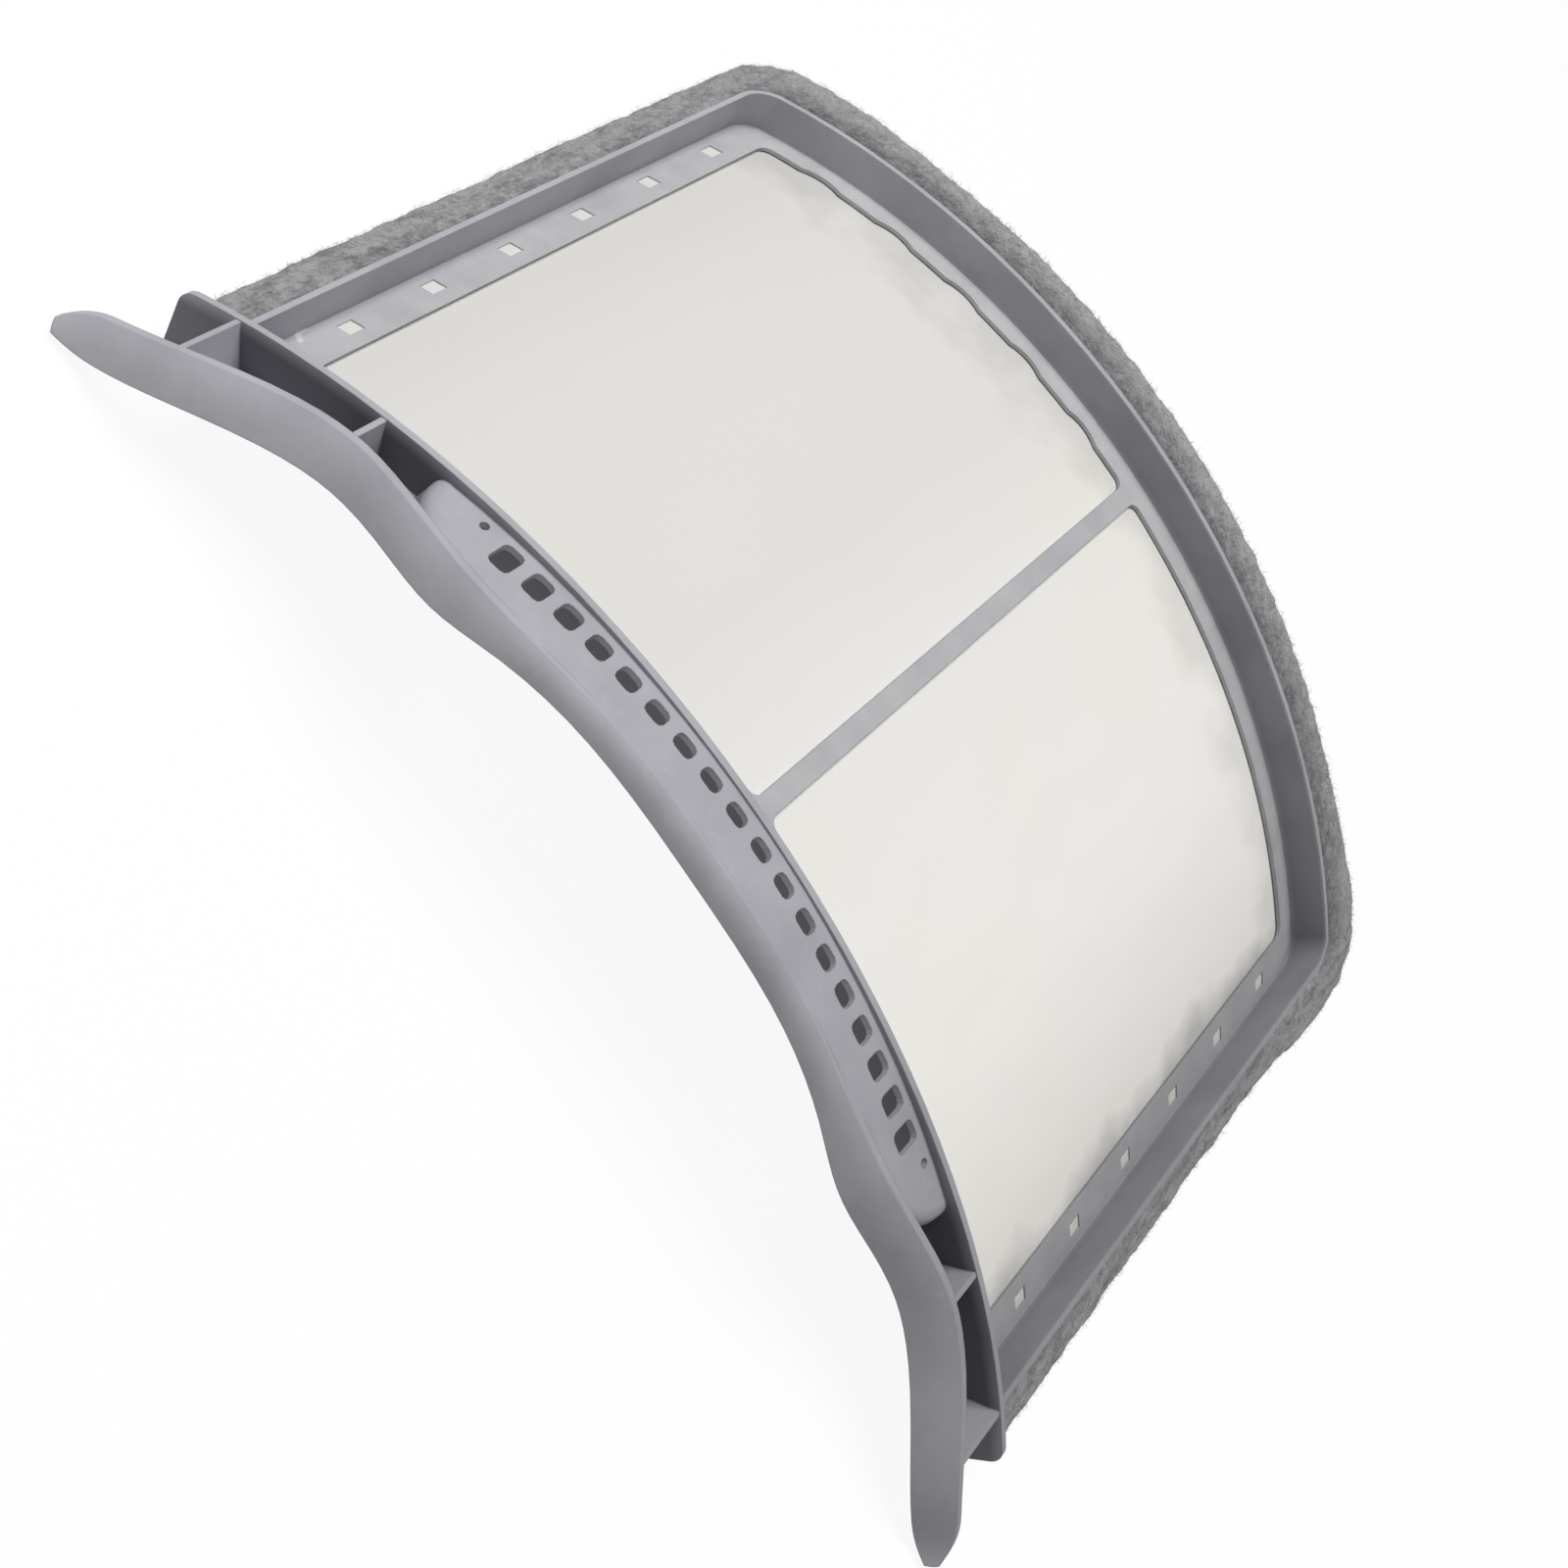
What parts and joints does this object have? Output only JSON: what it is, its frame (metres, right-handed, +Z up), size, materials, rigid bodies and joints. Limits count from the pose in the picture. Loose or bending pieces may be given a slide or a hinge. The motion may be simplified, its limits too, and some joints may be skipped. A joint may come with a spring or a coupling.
{
  "type": "tumble dryer lint filter",
  "caption": "Curved grey lint filter: a moulded frame with a pull handle and slotted finger recess, a fine mesh screen and a felt seal round three sides.",
  "frame": {"origin": "on the surface that the arched filter lies on, under the middle of its outline", "axes": "+X across the handle from one tip to the other, +Y from the handle towards the far wall, +Z up through the arch"},
  "size_m": [0.289, 0.2006, 0.0615],
  "materials": {
    "frame_plastic": "fine satin moulding",
    "screen_mesh": "fine woven mesh",
    "seal_felt": "fuzzy needle felt"
  },
  "bodies": {
    "root": {"frame": "frame_plastic", "mesh_screen": "screen_mesh", "felt_seal": "seal_felt"}
  },
  "joints": []
}
